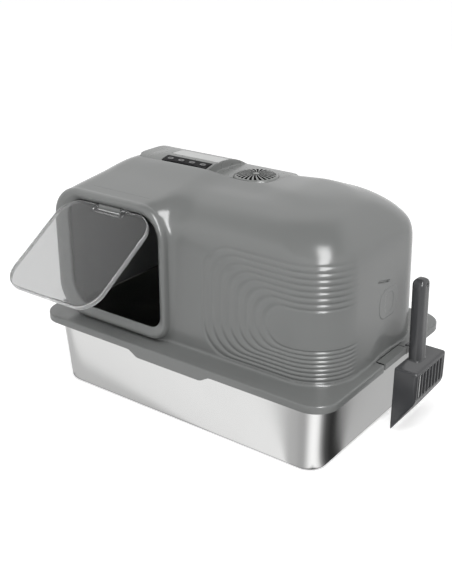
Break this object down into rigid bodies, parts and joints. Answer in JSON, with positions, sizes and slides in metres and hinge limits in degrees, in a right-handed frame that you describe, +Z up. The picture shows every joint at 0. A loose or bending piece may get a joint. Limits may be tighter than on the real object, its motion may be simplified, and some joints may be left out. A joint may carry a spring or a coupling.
{
  "type": "litter box",
  "caption": "Hooded litter box with a steel tray, a lift-off hood, a hinged clear entry flap, rim clips, a vented odour unit on top and a slotted scoop on the rim.",
  "frame": {"origin": "middle of the steel pan's underside, on the floor", "axes": "+X along the long side towards the end that carries the scoop, -Y towards the long side with the entry flap, +Z up"},
  "size_m": [0.645, 0.5404, 0.4023],
  "materials": {
    "pan_steel": "brushed",
    "hood_plastic": "satin",
    "block_plastic": "matte",
    "pin_steel": "polished",
    "clear_plastic": "clear",
    "unit_plastic": "satin",
    "dark_plastic": "matte",
    "vent_plastic": "satin",
    "motor_metal": "brushed",
    "carbon": "rough",
    "panel_black": "gloss",
    "button_plastic": "satin",
    "board": "satin",
    "cell_sleeve": "satin",
    "socket_metal": "satin",
    "plate_plastic": "satin",
    "scoop_plastic": "gloss"
  },
  "bodies": {
    "pan": {"steel_pan": "pan_steel"},
    "hood": {"hood_shell": "hood_plastic", "entry_frame": "hood_plastic", "flap_hinge_block": "block_plastic", "flap_hinge_pin": "pin_steel", "flap_block_screws": "pin_steel", "right_clip_pin": "pin_steel", "left_clip_pin": "pin_steel", "unit_cover": "unit_plastic", "unit_base": "dark_plastic", "unit_screws": "pin_steel", "vent_grille": "vent_plastic", "fan_frame": "dark_plastic", "fan_motor": "motor_metal", "carbon_filter": "carbon", "filter_cap": "dark_plastic", "control_panel": "panel_black", "circuit_board": "board", "battery_cells": "cell_sleeve", "charge_socket": "socket_metal", "pale_plate": "plate_plastic"},
    "flap": {"door_flap": "clear_plastic"},
    "clip_right": {"right_clip": "hood_plastic"},
    "clip_left": {"left_clip": "hood_plastic"},
    "fan": {"fan_impeller": "dark_plastic"},
    "key_power": {"button_power": "button_plastic"},
    "key_timer": {"button_timer": "button_plastic"},
    "key_speed": {"button_speed": "button_plastic"},
    "key_lamp": {"button_lamp": "button_plastic"},
    "litter_scoop": {"scoop": "scoop_plastic"}
  },
  "joints": [
    {"name": "hood_lift", "type": "slide", "parent": "pan", "child": "hood", "axis": [0, 0, 1], "range_m": [0, 0.25]},
    {"name": "flap_hinge", "type": "hinge", "parent": "hood", "child": "flap", "pos_m": [-0.1395, -0.173, 0.3535], "axis": [1, 0, 0], "range_deg": [-20, 92]},
    {"name": "right_clip_hinge", "type": "hinge", "parent": "hood", "child": "clip_right", "pos_m": [0.2855, 0.019, 0.1343], "axis": [0, -1, 0], "range_deg": [0, 85]},
    {"name": "left_clip_hinge", "type": "hinge", "parent": "hood", "child": "clip_left", "pos_m": [-0.2855, 0.019, 0.1343], "axis": [0, 1, 0], "range_deg": [0, 85]},
    {"name": "fan_spin", "type": "hinge", "parent": "hood", "child": "fan", "pos_m": [0.008, 0.032, 0.358], "axis": [0, 0, 1], "continuous": true},
    {"name": "power_press", "type": "slide", "parent": "hood", "child": "key_power", "axis": [0, 0.2214, -0.9752], "range_m": [0, 0.0008], "stiffness_N_per_m": 300, "springref_m": -0.001},
    {"name": "timer_press", "type": "slide", "parent": "hood", "child": "key_timer", "axis": [0, 0.2214, -0.9752], "range_m": [0, 0.0008], "stiffness_N_per_m": 300, "springref_m": -0.001},
    {"name": "speed_press", "type": "slide", "parent": "hood", "child": "key_speed", "axis": [0, 0.2214, -0.9752], "range_m": [0, 0.0008], "stiffness_N_per_m": 300, "springref_m": -0.001},
    {"name": "lamp_press", "type": "slide", "parent": "hood", "child": "key_lamp", "axis": [0, 0.2214, -0.9752], "range_m": [0, 0.0008], "stiffness_N_per_m": 300, "springref_m": -0.001},
    {"name": "scoop_lift", "type": "slide", "parent": "hood", "child": "litter_scoop", "axis": [0, 0, 1], "range_m": [0, 0.15]}
  ]
}
